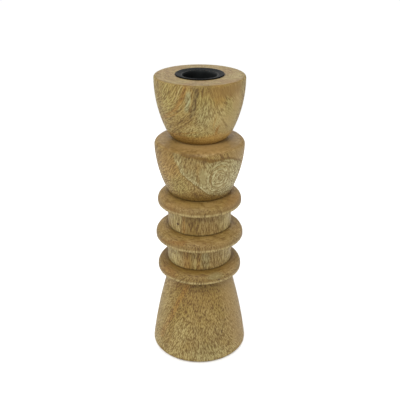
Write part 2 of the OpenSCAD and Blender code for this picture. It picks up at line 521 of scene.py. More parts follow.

# ---- wood

# A piece of wood: a seed for its grain, its two main tones, where the grain fans out from in mm right
# of the middle, how much it leans outward per mm from there near the top and lower down, the strength
# of each layer of streaks, how far its lower edge lifts in mm, how dark the painted shade along its
# lower seam is, the node that stands on it, the width in mm and the strength of the painted shade on
# its top round that node, and its figure.
Wood = namedtuple("Wood", "seed base second centre fan_top fan_low flecks lift seam carries dirt figure",
                  defaults=(0, 0, 0, (1.3, 3.0, 13), 0.3, 0.7, None, (1.6, 0.4), ()))

# How a fully dark and a fully light fleck change the colour of the wood, and how upward faces do, for
# their end grain and as painted shade on top faces.
DARK_FLECK = (0.54, 0.47, 0.38, 1)
LIGHT_FLECK = (1.30, 1.46, 1.75, 1)
END_GRAIN_AND_TOP_SHADE = (0.97, 0.94, 0.91, 1)

# Layers of streaks: how many there are per mm across the grain, how far each reaches along it in mm,
# and the share of their strength that is left on upward faces.
STREAKS = (
    (0.30, 9.0, 0.9),
    (0.80, 3.6, 0.6),
    (1.60, 2.4, 0.3),
)

# The pores: the size of the cells that hold one each, and a pore's half-sizes across the grain and
# along it, all in mm, how a pore fades from its edge to its middle, which cells' random values leave
# them empty and which give them a full pore, and how dark pores are on side faces and upward ones.
PORE_CELL = 2.0
PORE_WIDTH = 0.5
PORE_LENGTH = 1.5
PORE_FADE = (1.3, 0.1)
PORE_CHANCE = (0.65, 0.2)
PORE_STRENGTH = (0.6, 0.3)

# The grain: how far apart the noise of two pieces lies in mm, between which shares of the piece's
# height the fan goes from its top lean to its low one, the size and strength of its wandering, and
# the steepest lean. A face is upward from none to fully as its normal's upward part passes these.
SEED_SHIFT = 37.0
FAN_DEPTHS = (0.05, 0.45)
WANDER_FINENESS = 0.06
WANDER = 1.4
MAX_SLOPE = 2.0
UPWARD = (0.35, 0.9)

# The broad tone: how finely and how far in mm the growth layers sway, how finely the clouds of the
# second tone run in each direction and the noise values at their edges, the direction and closeness
# of the growth layers, and how much the clouds bend them. Late wood is the dark edge of a layer,
# between these shares of it, and this strong on side faces and on upward ones.
SWAY_FINENESS = 0.07
SWAY = 9
CLOUD_FINENESS = (0.09, 0.09, 0.03)
CLOUD_EDGE = (0.38, 0.62)
LAYERS = (0.05, 0.16, 0.028)
LAYER_BEND = 2.4
LATE_WOOD = (0.55, 0.97)
LATE_STRENGTH = (0.25, 0.55)

# How finely the borders of the figure are frayed, and how far in mm on patches and on finer marks,
# which a patch with a half-size up to this in mm counts as.
FRAY_FINENESS = (0.5, 0.5, 0.16)
LOOSE_FRAY = (5, 5, 7)
TIGHT_FRAY = (1.5, 1.5, 2.0)
SMALL_PATCH = 2

# Gloss and relief: the tones between which the roughness changes, and the roughness of dark and of
# light flecks. Worn edges are broken where the flecks are dark: the tones between which the wear
# comes in, and the shares of it on the darkest and on the lightest.
FLECK_RANGE = (-0.6, 0.6)
WOOD_ROUGHNESS = (0.64, 0.52)
WOOD_SPECULAR = 0.3
WOOD_RELIEF = 0.04 * MM
RELIEF_STRENGTH = 0.6
WORN_RANGE = (-0.5, 0.3)
WORN_SHARE = (0.25, 1.0)


class Grain:
    """A place in a piece of wood and the way that the grain runs there, as nodes.

    place is in mm, and sample is the same shifted to the piece's own part of the noise. The grain
    runs down and fans out from the middle, wandering a little. It bends round whorls, and on upward
    faces it follows the turning. along lies in the surface along the grain, and across lies across
    it. swayed is the sample place with the slow sway of the growth layers."""

    def __init__(self, g, wood, outline):
        coords = g.node("ShaderNodeTexCoord")
        shift = wood.seed * SEED_SHIFT
        self.place = g.scaled(coords.outputs["Object"], 1 / MM)
        self.sample = g.vector("ADD", self.place, (shift, -shift, shift))
        self.upward = g.between(g.split(coords.outputs["Normal"])[2], *UPWARD)
        sway = g.scaled(g.drift(self.sample, SWAY_FINENESS, 0.5), SWAY)
        self.swayed = g.vector("ADD", self.sample, sway)
        x, y, z = g.split(self.place)
        around = g.unit(g.combine(g.times(y, -1), x, 0))
        slope = self.slope(g, wood, outline, x, z)
        slopes = g.combine(slope, slope, slope)
        along = g.unit(g.vector("SUBTRACT", g.vector("MULTIPLY", around, slopes), (0, 0, 1)))
        for mark in wood.figure:
            if isinstance(mark, Whorl):
                ring_way, follow = whorl_grain(g, self.place, mark, outline, around)
                along = g.unit(g.mix(follow, along, ring_way))
        self.along = g.unit(g.mix(self.upward, along, around))
        self.across = g.unit(g.vector("ADD", around, g.vector("MULTIPLY", slopes, (0, 0, 1))))

    def slope(self, g, wood, outline, x, z):
        """How far the grain leans to the right for each mm that it runs down."""
        low, high = outline[:, 1].min() / MM, outline[:, 1].max() / MM
        start, end = (share * (high - low) for share in FAN_DEPTHS)
        spread = g.between(g.minus(high, z), start, end, wood.fan_top, wood.fan_low)
        wander = g.times(g.minus(g.noise(self.sample, WANDER_FINENESS), 0.5), WANDER)
        slope = g.plus(g.times(g.minus(x, wood.centre), spread), wander)
        return g.math("MAXIMUM", g.math("MINIMUM", slope, MAX_SLOPE), -MAX_SLOPE)


def broad_tone(g, grain, wood):
    """The wood's two colours in long clouds, and growth layers with thin darker edges."""
    clouds = g.noise(g.vector("MULTIPLY", grain.swayed, CLOUD_FINENESS), 1.0, 3, 0.55)
    colour = g.mix(g.between(clouds, *CLOUD_EDGE), wood.base, wood.second)
    layer = g.plus(g.vector("DOT_PRODUCT", grain.swayed, LAYERS), g.times(clouds, LAYER_BEND))
    phase = g.math("FRACT", layer)
    late = g.times(g.between(phase, *LATE_WOOD), g.between(phase, 1.0, LATE_WOOD[1]))
    late = g.times(late, g.between(grain.upward, 0, 1, *LATE_STRENGTH))
    return g.mix(late, colour, UMBER)


def lay_figure(g, grain, wood, outline, colour):
    """The colour with the piece's own figure laid on it, and how busy the flecks still are there.

    The borders are broken up along the grain, less so on small and thin marks."""
    fray = g.drift(g.vector("MULTIPLY", grain.sample, FRAY_FINENESS), 1.0, 0.6)
    loose = Surface(g, g.vector("ADD", grain.place, g.vector("MULTIPLY", fray, LOOSE_FRAY)))
    tight = Surface(g, g.vector("ADD", grain.place, g.vector("MULTIPLY", fray, TIGHT_FRAY)))
    busy = 1.0
    for mark in wood.figure:
        big = isinstance(mark, Patch) and min(mark.across, mark.along) > SMALL_PATCH
        mask = MASKS[type(mark)](g, loose if big else tight, mark, outline)
        colour = g.mix(g.times(mask, mark.strength), colour, mark.tone)
        if mark.calm:
            busy = g.times(busy, g.minus(1, g.times(mask, mark.calm)))
    return colour, busy


def streaks(g, place, along, fineness, length):
    """Noise smeared along the grain, about 0 on average: the mean of close samples on a short line."""
    samples = math.ceil(2 * length * fineness)
    total = 0.0
    for i in range(samples):
        t = (i / (samples - 1) - 0.5) * length
        total = g.plus(total, g.noise(g.vector("ADD", place, g.scaled(along, t)), fineness, 0.5))
    return g.minus(g.math("DIVIDE", total, samples), 0.5)


def pores(g, grain):
    """Short dark dashes along the grain, from 0 to 1, one in about every other cell."""
    cells = g.node("ShaderNodeTexVoronoi", {"Vector": grain.sample, "Scale": 1 / PORE_CELL})
    offset = g.vector("SUBTRACT", grain.sample, cells.outputs["Position"])
    side = g.math("DIVIDE", g.vector("DOT_PRODUCT", offset, grain.across), PORE_WIDTH)
    run = g.math("DIVIDE", g.vector("DOT_PRODUCT", offset, grain.along), PORE_LENGTH)
    reach = g.plus(g.times(side, side), g.times(run, run))
    kind = g.node("ShaderNodeSeparateColor", {0: cells.outputs["Color"]}).outputs[0]
    return g.times(g.between(reach, *PORE_FADE), g.between(kind, *PORE_CHANCE))


def fleck_tone(g, grain, wood):
    """How light (+) or dark (-) the flecks and pores make the wood."""
    tone = 0.0
    for (fineness, length, upward_share), strength in zip(STREAKS, wood.flecks):
        layer = streaks(g, grain.sample, grain.along, fineness, length)
        strength = g.between(grain.upward, 0, 1, strength, strength * upward_share)
        tone = g.plus(tone, g.times(layer, strength))
    return g.minus(tone, g.times(pores(g, grain), g.between(grain.upward, 0, 1, *PORE_STRENGTH)))


def wood_material(name, wood, outline):
    """Turned mango wood: broad tones, the piece's own figure with some painted light and shade in it,
    upward faces tinted for their end grain and as painted shade, flecks along the grain, and then the
    mesh's own marks, which are dark bands, painted shade round what a piece carries, pale worn edges,
    and painted shade along the seams."""
    g = Graph(bpy.data.materials.new(name))
    grain = Grain(g, wood, outline)
    colour, busy = lay_figure(g, grain, wood, outline, broad_tone(g, grain, wood))
    # Upward faces are tinted for their end grain and as painted shade on top faces.
    colour = g.tinted(grain.upward, colour, END_GRAIN_AND_TOP_SHADE)
    tone = g.times(fleck_tone(g, grain, wood), busy)
    colour = g.tinted(g.math("MULTIPLY", tone, -1, clamp=True), colour, DARK_FLECK)
    colour = g.tinted(g.math("MULTIPLY", tone, 1, clamp=True), colour, LIGHT_FLECK)
    # The band attribute holds the dark band round a flange and the painted shade round a carried node.
    colour = g.tinted(g.attribute("band"), colour, DARK_FLECK)
    dashes = g.between(tone, *WORN_RANGE, *WORN_SHARE)
    colour = g.mix(g.times(g.attribute("wear"), dashes), colour, WORN)
    # Painted shade along the lower edge, in the joint.
    colour = g.mix(g.attribute("seam"), colour, CREVICE)
    g.put(g.shader.inputs["Base Color"], colour)
    g.put(g.shader.inputs["Roughness"], g.between(tone, *FLECK_RANGE, *WOOD_ROUGHNESS))
    g.shader.inputs["Specular IOR Level"].default_value = WOOD_SPECULAR
    g.bump(tone, WOOD_RELIEF, RELIEF_STRENGTH)
    return g.owner


# The figure of each piece, in the order that it is laid on. Some of its marks are painted light and
# some are painted shade, as the comment above each says. Two of the middle bowl's lines are also the
# edges of its pale zone.
DARK_WAVE = ((-22, 164.7), (-15, 164.3), (-8, 164.0), (-2, 163.3), (5, 162.5), (12, 161.2),
             (20, 160.8), (28, 161.2), (38, 160.7), (49, 158.6), (67, 153.3))
PALE_BORDER = ((-33, 163), (-30, 158), (-26, 154), (-23, 150), (-16, 146.7), (-10, 144), (-3, 141.4),
               (2, 139.5), (8, 136.6), (14, 134.2), (28, 132), (46, 130.1), (66, 132))

TOP_BOWL_FIGURE = (
    Patch(-50, 198, 14, 14, OLIVE, 0.5),
    Patch(24, 203, 4.5, 9, AMBER, 0.65, 0.5, lean=-12),
    Patch(43, 206, 9, 5, BROWN, 0.8, 0.8),
    Patch(55, 197, 5, 8, STRAW, 0.7, 0.7, lean=-10),
    Patch(6, 208, 6, 3.5, UMBER, 0.5),
    Patch(6, 189, 6, 10, PALE, 0.6),
    Patch(26, 186, 6, 6, CREAM, 0.6, 0.4, lean=-10),
    Patch(50, 191, 9, 8, OLIVE, 0.3, 0.6),
    Patch(48, 181, 9, 7, OLIVE, 0.7, 0.7),
    Patch(36, 181, 12, 11, CREAM, 0.55, 0.3),
    Patch(-35, 183, 9, 5, HONEY, 0.6),
    Patch(-5, 180, 9, 4, CREAM, 0.5),
    Line(ring(172.5), 2.6, RUST, 0.55, 0.5),
    Line(ring(168.5), 2.4, AMBER, 0.9, 0.5),
    Patch(32, 171.5, 14, 5, GOLD, 0.9),
    Patch(24, 192, 6, 6, CREAM, 0.6),
    Patch(42, 181, 8, 8, STRAW, 0.4),
    Patch(32, 206.5, 15, 4, BROWN, 0.8),
    Streak(((-22, 209.7), (-28, 204.5), (-31, 200.2)), 0.7, CREAM, 0.7),
    Streak(((-18, 210), (-19, 206.2), (-22, 202), (-26, 198.5), (-30, 195.2), (-36, 192.4),
            (-46, 189.5), (-58, 187)), 1.6, RUST, 0.6),
    Streak(((-13, 206), (-14, 202), (-15, 198), (-17, 194)), 1.6, ASH, 0.8),
    Streak(((-7, 209.4), (-4, 205.4), (-6, 201), (-7, 197.2), (-9, 193.3), (-12, 189.6)),
           1.7, GREY, 0.65),
    Line(((-56, 179), (-32, 184.2), (-24, 186.8), (-16, 189.4)), 0.7, UMBER, 0.45),
    Line(((-60, 185), (-38, 189.5), (-30, 192)), 0.6, RUST, 0.6),
    Line(((-44, 177.5), (-22, 182.5), (-12, 187)), 0.6, UMBER, 0.35),
    Line(((-50, 174.5), (-25, 177), (-5, 178.5)), 0.6, RUST, 0.5),
    Streak(((30, 188), (36, 184.4), (43, 181)), 0.7, UMBER, 0.6),
    Streak(((28, 182.2), (26, 179.6), (26, 176.6)), 1.0, RUST, 0.8),
    Streak(((22, 189), (20, 184.7), (20, 181)), 0.6, AMBER, 0.6),
)

MIDDLE_BOWL_FIGURE = (
    Line(ring(168), 2.0, TAN, 0.3, 0.6),
    # Painted light on the shoulder's front, against the shade that the top bowl casts there.
    Patch(4, 167, 18, 3, PEACH, 0.8, 0.3),
    Patch(-46, 153, 11, 12, AMBER, 0.55, 0.2),
    Patch(-44, 160, 9, 6, BROWN, 0.45, 0.4),
    Patch(-30, 140, 8, 8, OLIVE, 0.7),
    Patch(-5, 133, 11, 4, BROWN, 0.6),
    Patch(58, 162, 12, 4, TAN, 0.6, 0.8),
    Zone(DARK_WAVE, PALE_BORDER, PALE, 0.8),
    Patch(-6, 158, 13, 5, BROWN, 0.6),
    # Painted shade on the upward face of the shoulder.
    Patch(-5, 163.3, 30, 3, UMBER, 0.35),
    Patch(15, 132.5, 13, 3.5, UMBER, 0.65),
    Patch(38, 145, 16, 11, IVORY, 0.85, 0.1),
    Patch(24, 157, 8, 4, PALE, 0.9),
    Whorl(28, 147.5, 10, 12, 3.5, BROWN, 0.5),
    Line(PALE_BORDER[2:-2], 0.8, UMBER, 0.7, 0.3),
    Line(((-28, 160), (-24, 155), (-19, 150), (-12, 146.4), (-6, 144.2), (1, 141.6), (6, 139.2),
          (12, 136.4)), 1.0, IVORY, 0.65),
    Line(DARK_WAVE, 0.9, UMBER, 0.85, 0.6),
    Line(DARK_WAVE[:7], 1.4, UMBER, 0.8, 0.4),
    Line(((-22, 166), (-12, 166), (-2, 165.7)), 0.4, UMBER, 0.4),
    Streak(((-2, 158), (-2, 145)), 1.3, BROWN, 0.65),
    Streak(((14, 152.5), (15, 143)), 0.9, UMBER, 0.6),
    Streak(((-24, 160.5), (-22, 151)), 1.2, PALE, 0.6),
    Streak(((3, 155), (4, 143.5)), 1.8, PALE, 0.7, 0.8),
    Streak(((21, 148), (20, 140.5)), 1.1, PALE, 0.7),
    Line(ring(129.5), 2.2, UMBER, 0.7, 0.5),
)

UPPER_SPOOL_FIGURE = (
    Patch(-46, 121, 8, 3.5, RUST, 0.5, 0.4),
    Patch(60, 124, 12, 4, RUST, 0.4, 0.5),
    Line(ring(121.5), 2.2, TAN, 0.2, 0.45),
    Patch(-25, 126, 7, 1.6, BROWN, 0.5),
    # Painted light on the neck's left side.
    Patch(-50, 110, 8, 9, CREAM, 0.75),
    # Painted shade on the front of the neck, under the flange.
    Patch(-4, 110, 12, 10, UMBER, 0.5),
    Streak(((8, 118), (8, 103)), 2.2, TAN, 0.5),
    Streak(((-29, 118), (-29, 102)), 1.2, RUST, 0.5),
    Patch(-42, 108.2, 1.3, 0.8, DARK, 0.95),
    # Painted light on the neck's right side.
    Patch(60, 110, 9, 9, CREAM, 0.8),
)

LOWER_SPOOL_FIGURE = (
    Line(((-60, 95), (-42, 96.5), (-20, 98.5)), 1.4, RUST, 0.5, 0.4),
    Line(ring(94.5), 2.4, TAN, 0.2, 0.6),
    Patch(2, 97.5, 7, 2.6, BROWN, 0.8),
    Patch(32, 97, 6, 2, TAN, 0.7, 0.6),
    # Painted light on the neck's left side.
    Patch(-55, 81, 8, 9, CREAM, 0.9),
    Streak(((-22, 92), (-22, 74)), 2.6, RUST, 0.5),
    Streak(((-9, 92), (-9, 76)), 1.4, CREAM, 0.5),
    Streak(((0, 92), (-1, 74)), 1.2, RUST, 0.4),
    # Painted shade on the front of the neck, under the flange.
    Patch(3, 83, 12, 10, UMBER, 0.35),
    Patch(11, 82, 3, 8, ASH, 0.4),
    # Painted light on the neck's right side.
    Patch(58, 82, 7, 9, CREAM, 0.6),
)

FOOT_FIGURE = (
    # Painted shadow on the top of the cone, under the flange.
    Line(ring(59.6), 6.0, UMBER, 0.6),
    Patch(-38, 61, 8, 5, RUST, 0.4),
    Patch(0, 53, 60, 9, HONEY, 0.1, 0.4),
    # Painted light on the left, where that painted shadow is lighter.
    Patch(-68, 60, 9, 7, STRAW, 0.9),
    Zone(ring(76), ring(66), HONEY, 0.9),
    Patch(0, 71, 9, 3, BROWN, 0.35),
    # Painted shade on the flange's upward face.
    Line(ring(73.5), 2.0, UMBER, 0.5),
    Line(ring(68), 2.4, TAN, 0.2, 0.6),
    Patch(48, 72.5, 8, 2.5, BROWN, 0.6),
    Patch(-50, 70, 9, 3, RUST, 0.5, 0.4),
    Patch(23, 71, 6, 2, ASH, 0.5, 0.7),
    Patch(27, 68.6, 1.0, 0.7, DARK, 0.8),
    Patch(-18, 50, 4, 10, BROWN, 0.5, lean=15),
    Streak(((-20, 63), (-24, 57), (-34, 47), (-42, 35), (-52, 23), (-58, 12)), 2.2, RUST, 0.55),
    # Painted light on the cone's left side.
    Patch(-70, 30, 12, 22, CREAM, 0.35, 0.5, lean=5),
    Patch(-26, 22, 6, 14, CREAM, 0.55, lean=8),
    Line(ring(5), 5.0, CREAM, 0.55),
    Patch(64, 32, 12, 50, TAN, 0.8, 0.72, lean=-4),
    Patch(10, 8, 12, 8, PALE, 0.45),
    Patch(8, 50, 14, 7, BROWN, 0.5),
    Patch(8, 22, 17, 8, IVORY, 0.12),
    Patch(31, 23.4, 0.7, 1.5, DARK, 0.7),
)

WOODS = {
    "top_bowl": Wood(
        seed=1, base=HONEY, second=OLIVE, centre=4, fan_top=0.02, fan_low=0.08, flecks=(1.6, 4.2, 12),
        # Its painted shade round the insert stands for the shade under the insert's lip.
        lift=0, seam=0, carries="candle_insert", dirt=(0.9, 1.0),
        figure=TOP_BOWL_FIGURE),
    "middle_bowl": Wood(
        seed=2, base=HONEY, second=TAN, fan_top=0.03, fan_low=0.06, flecks=(1.8, 5.0, 17),
        lift=0.7, seam=0.8,
        figure=MIDDLE_BOWL_FIGURE),
    "upper_spool": Wood(
        seed=3, base=HONEY, second=TAN, carries="middle_bowl", figure=UPPER_SPOOL_FIGURE),
    "lower_spool": Wood(
        seed=4, base=HONEY, second=TAN, flecks=(1.3, 3.0, 21), carries="upper_spool",
        figure=LOWER_SPOOL_FIGURE),
    "foot": Wood(
        seed=5, base=LOAM, second=SAND, fan_top=0.05, fan_low=0.02,
        flecks=(0.8, 4.4, 25), carries="lower_spool",
        figure=FOOT_FIGURE),
}

# The pieces with a flange at their head. It lies above this share of the piece's height.
FLANGED = ("foot", "lower_spool", "upper_spool")
FLANGE_START = 0.6

# Closer to the axis than this a piece is out of view, so it keeps its exact shape there. Its
# unevenness comes in over the edge of that core.
CORE = 17 * MM
CORE_EDGE = 2 * MM

# How far a turned piece falls short of its outline: where it is oval and in its hand-sanded waves,
# with the waves' size, and the factor on heights that makes them longer along the axis.
OVAL = 0.10 * MM
WAVES = 0.07 * MM
WAVE_SIZE = 11 * MM
WAVE_STRETCH = 0.7

# Dents in a flange's lower edge and its pale wear: their depth, their size in degrees round the
# axis, their half-sizes across and along it, and how far the wear lies above the edge.
DENT = 0.22 * MM
DENT_DEGREES = 5
DENT_SIZE = (1.0 * MM, 0.9 * MM)
WEAR_SIZE = (1.3 * MM, 0.8 * MM)
WEAR_RISE = 0.4 * MM

# The lift of a lower edge off the piece below: its height and its size in degrees round the axis.
LIFT_HEIGHT = 1.0 * MM
LIFT_DEGREES = 50

# The painted shade along a lower edge, at the seam: how far above the edge it is clear and full. The
# painted shade round the node that stands on a piece: how far below the piece's top it is clear and
# full. That node's radius is taken over this height.
SEAM = (0.9 * MM, 0.2 * MM)
SEAT_SHADE = (3 * MM, 1 * MM)
SEAT_HEIGHT = 1.5 * MM

# The dark band round a flange: how far inside the rim and above the lower edge it is clear and full,
# how far below the edge it is clear, and how strong it is.
BAND_INSIDE = (4 * MM, 1 * MM)
BAND_ABOVE = (5 * MM, 2 * MM)
BAND_BELOW = 1 * MM
BAND = 0.6


def seat_radius(node, level):
    """The radius of a node just above the level that it stands on."""
    outline = section(node)[0]
    near = (outline[:, 1] > level) & (outline[:, 1] < level + SEAT_HEIGHT)
    return outline[near][:, 0].max()


def flange_edge(outline, low, high):
    """The (radius, height) of the lower edge of the flange at a piece's head."""
    upper = outline[outline[:, 1] > low + FLANGE_START * (high - low)]
    rim = upper[:, 0].max()
    return rim, upper[upper[:, 0] > rim - 10 * SAME][:, 1].min()


def wooden_piece(node):
    """Replaces a wooden CAD node with a fine turned mesh, and gives it its own wood.

    It is slightly oval, with soft hand-sanded waves. A flange has dents and wear along its lower edge
    and a dark band over it. A piece that stands on another has painted shade along its lower edge, at
    the seam, which lifts a little where its wood says so, and there is painted shade on its top round
    what it carries."""
    wood = WOODS[node]
    outline, closed = section(node)
    points = resample(outline, closed, lambda r, z: FINE_STEP if r > CORE else HIDDEN_STEP)
    points = smoothed(points, closed, SMOOTHING)
    low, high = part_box(node)[0].z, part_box(node)[1].z
    has_flange = node in FLANGED
    rim, edge_z = flange_edge(outline, low, high) if has_flange else (0, 0)
    stands_on_wood = node != "foot"
    seat = seat_radius(wood.carries, high) if wood.carries else 0

    def shape(r, z, a):
        turn = np.radians(a)
        x, y = r * np.sin(turn), -r * np.cos(turn)
        outer = step(r, CORE, CORE + CORE_EDGE)
        oval = OVAL * (1 + np.cos(2 * turn + wood.seed)) / 2
        waves = WAVES * (1 + wave_field(x, y, z * WAVE_STRETCH, WAVE_SIZE, wood.seed)) / 2
        inset = oval + waves
        if has_flange:
            dents = np.clip(ring_noise(a, DENT_DEGREES, wood.seed + 3), 0, 1)
            inset = inset + DENT * dents * spot(r, z, (rim, edge_z), DENT_SIZE)
        if stands_on_wood:
            lift = wood.lift * MM * np.clip(0.5 + ring_noise(a, LIFT_DEGREES, wood.seed + 9), 0, 1)
            z = z + lift * step(z, low + LIFT_HEIGHT, low) * outer
        return r - inset * outer, z

    def marks(r, z, a):
        wear = band = seam = dirt = np.zeros_like(r)
        if has_flange:
            broken = 1.0 + 0.5 * ring_noise(a, DENT_DEGREES, wood.seed)
            wear = broken * spot(r, z, (rim, edge_z + WEAR_RISE), WEAR_SIZE)
            band = step(r, rim - BAND_INSIDE[0], rim - BAND_INSIDE[1])
            band = band * step(z, edge_z + BAND_ABOVE[0], edge_z + BAND_ABOVE[1])
            band = BAND * band * step(z, edge_z - BAND_BELOW, edge_z)
        if stands_on_wood:
            # Painted shade along the lower edge, where the joint's hairline gap is.
            seam = wood.seam * step(z, low + SEAM[0], low + SEAM[1]) * step(r, CORE, CORE + CORE_EDGE / 2)
        if wood.carries:
            width, strength = wood.dirt
            # Painted shade on the top round the node that this piece carries, sent out with the band.
            dirt = strength * step(r, seat + width * MM, seat) * step(z, high - SEAT_SHADE[0], high - SEAT_SHADE[1])
        return {"wear": np.clip(wear, 0, 1), "seam": seam, "band": np.maximum(band, dirt)}

    obj = turned(f"{node}_wood", points, closed, shape, marks)
    obj.data.materials.append(wood_material(f"mango_{node}", wood, outline))
    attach(obj, "root")
    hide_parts(node)


# ---- metal, felt and dowels

BLACK = srgb(12, 13, 13)
DUSTY_BLACK = srgb(18, 20, 20)
# The grey of worn paint, also used for the painted highlight and painted light inside the insert.
WEAR_AND_HIGHLIGHT_GREY = srgb(96, 100, 100)
SCREW_BLACK = srgb(34, 34, 34)
FELT_DARK = srgb(62, 44, 30)
FELT_LIGHT = srgb(104, 80, 56)
FELT_CLUMP = srgb(48, 36, 26)
BIRCH_DARK = srgb(196, 170, 124)
BIRCH_LIGHT = srgb(222, 200, 158)

# Nearly all of a noise's values lie between these.
NOISE_RANGE = (0.3, 0.7)

# Satin black paint: how fine its peel and its dust are, per metre, the noise values over which dust
# and the worn and painted-highlight places come in, the share of those places that is left below
# them, and what dust adds to roughness.
PEEL_FINENESS = 900
PEEL_DEPTH = 0.03 * MM
PEEL_STRENGTH = 0.5
DUST_FINENESS = 120
DUST_RANGE = (0.35, 0.7)
WEAR_AND_HIGHLIGHT_RANGE = (0.3, 0.6)
WEAR_AND_HIGHLIGHT_LEFT = 0.5
PAINT_ROUGHNESS = 0.5
SCREW_ROUGHNESS = 0.32
DUST_ROUGHNESS = 0.12
PAINT_SPECULAR = 0.035

# The metal insert: the gap between the points of its outline and how far it is smoothed, the height
# of its lip and of the stretch that its bore is measured on, and the lip's unevenness, which at the
# side starts from this share of the rim's radius.
INSERT_STEP = 0.3 * MM
INSERT_SMOOTHING = 0.15 * MM
LIP_HEIGHT = 1.5 * MM
BORE_STRETCH = 6 * MM
UNEVEN = 0.05 * MM
UNEVEN_DEGREES = 25
UNEVEN_START = 0.8

# Worn paint and painted highlight on the bead round the bore, the highlight strongest in front: how
# far outside the bore it lies, its half-width, and its strength at the sides and what the front adds.
# Worn paint and painted light on the bore's wall, lighter on the right: how far down it reaches, how
# far outside the bore it is clear and full, and its strength in front and what the right adds.
BEAD_PLACE = 0.8 * MM
BEAD_WIDTH = 0.5 * MM
BEAD_WEAR_AND_HIGHLIGHT = (0.55, 0.45)
WALL_LIGHT_DEPTH = 3 * MM
WALL_LIGHT_EDGE = (1.5 * MM, 0.5 * MM)
WALL_LIGHT_STRENGTH = (0.1, 0.2)

# Felt: its ragged edge, and its fibres and darker clumps.
FELT_EDGE = 1.5 * MM
FELT_RAGGED = 0.25 * MM
FELT_DEGREES = 3
FELT_ROUGHNESS = 0.95
FELT_SHEEN = 0.4
FUZZ_FINENESS = 2500
FUZZ_DEPTH = 0.15 * MM
CLUMP_FINENESS = 300
CLUMP_RANGE = (0.4, 0.7)
CLUMPS = 0.3

# Birch: how many fibres there are per metre in each direction, and their depth.
FIBRE_FINENESS = (1400, 1400, 60)
FIBRE_DEPTH = 0.03 * MM
BIRCH_ROUGHNESS = 0.7


def black_metal_material(name, tone, rough):
    """Black paint on steel: faint orange peel, dusty clouds, and worn places with painted highlight and
    painted light from the mesh's marks.
    """
    g = Graph(bpy.data.materials.new(name))
    place = g.object_place()
    peel = g.noise(place, PEEL_FINENESS)
    cloud = g.noise(place, DUST_FINENESS, 3, 0.6)
    # The mesh's wear marks, which on the insert are also painted highlight and painted light.
    wear = g.times(g.attribute("wear"), g.between(cloud, *WEAR_AND_HIGHLIGHT_RANGE, WEAR_AND_HIGHLIGHT_LEFT, 1))
    colour = g.mix(wear, g.mix(g.between(cloud, *DUST_RANGE), tone, DUSTY_BLACK), WEAR_AND_HIGHLIGHT_GREY)
    g.put(g.shader.inputs["Base Color"], colour)
    g.put(g.shader.inputs["Roughness"], g.between(cloud, *NOISE_RANGE, rough, rough + DUST_ROUGHNESS))
    g.shader.inputs["Specular IOR Level"].default_value = PAINT_SPECULAR
    g.bump(peel, PEEL_DEPTH, PEEL_STRENGTH)
    return g.owner


def candle_insert():
    """The pressed metal cup, from its CAD outline, with an uneven lip, and worn paint with painted
    highlight and painted light round the bore.
    """
    outline, closed = section("candle_insert")
    points = resample(outline, closed, lambda r, z: INSERT_STEP)
    points = smoothed(points, closed, INSERT_SMOOTHING)
    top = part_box("candle_insert")[1].z
    rim = outline[:, 0].max()
    bore = outline[outline[:, 1] > top - BORE_STRETCH][:, 0].min()

    def shape(r, z, a):
        uneven = UNEVEN * (1 + ring_noise(a, UNEVEN_DEGREES, 4)) * step(z, top - LIP_HEIGHT, top)
        return r - 0.5 * uneven * step(r, UNEVEN_START * rim, rim), z - uneven

    def marks(r, z, a):
        turn = np.radians(a)
        # Worn paint on the bead, stronger in front as a painted highlight.
        bead = np.exp(-((r - bore - BEAD_PLACE) / BEAD_WIDTH) ** 2)
        bead = bead * step(z, top - LIP_HEIGHT, top - LIP_HEIGHT / 3)
        bead = bead * (BEAD_WEAR_AND_HIGHLIGHT[0] + BEAD_WEAR_AND_HIGHLIGHT[1] * np.cos(turn))
        # Worn paint on the bore's wall, fading down it, and stronger on the right as painted light.
        wall_wear_and_light = step(r, bore + WALL_LIGHT_EDGE[0], bore + WALL_LIGHT_EDGE[1]) * np.exp((z - top) / WALL_LIGHT_DEPTH)
        wall_wear_and_light = wall_wear_and_light * np.clip(WALL_LIGHT_STRENGTH[0] + WALL_LIGHT_STRENGTH[1] * np.sin(turn), 0, 1)
        return {"wear": np.maximum(bead, wall_wear_and_light)}

    obj = turned("candle_insert_cup", points, closed, shape, marks)
    obj.data.materials.append(black_metal_material("black_paint", BLACK, PAINT_ROUGHNESS))
    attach(obj, "root")
    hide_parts("candle_insert")


def felt_material():
    """Brown pressed felt: fuzzy fibres in two tones, with darker clumps."""
    g = Graph(bpy.data.materials.new("brown_felt"))
    place = g.object_place()
    fuzz = g.noise(place, FUZZ_FINENESS, 4, 0.75)
    clumps = g.noise(place, CLUMP_FINENESS)
    colour = g.mix(g.between(fuzz, *NOISE_RANGE), FELT_DARK, FELT_LIGHT)
    colour = g.mix(g.between(clumps, *CLUMP_RANGE, 0, CLUMPS), colour, FELT_CLUMP)
    g.put(g.shader.inputs["Base Color"], colour)
    g.shader.inputs["Roughness"].default_value = FELT_ROUGHNESS
    g.shader.inputs["Sheen Weight"].default_value = FELT_SHEEN
    g.bump(fuzz, FUZZ_DEPTH)
    return g.owner


def felt_pad():
    """The felt pad: a disc with a soft, slightly ragged edge."""
    outline, closed = section("felt_pad")
    points = resample(outline, closed, lambda r, z: FINE_STEP)
    points = smoothed(points, closed, SMOOTHING)
    rim = outline[:, 0].max()

    def shape(r, z, a):
        return r - step(r, rim - FELT_EDGE, rim) * FELT_RAGGED * (1 + ring_noise(a, FELT_DEGREES, 2)), z

    obj = turned("felt_disc", points, closed, shape)
    obj.data.materials.append(felt_material())
    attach(obj, "root")
    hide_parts("felt_pad")


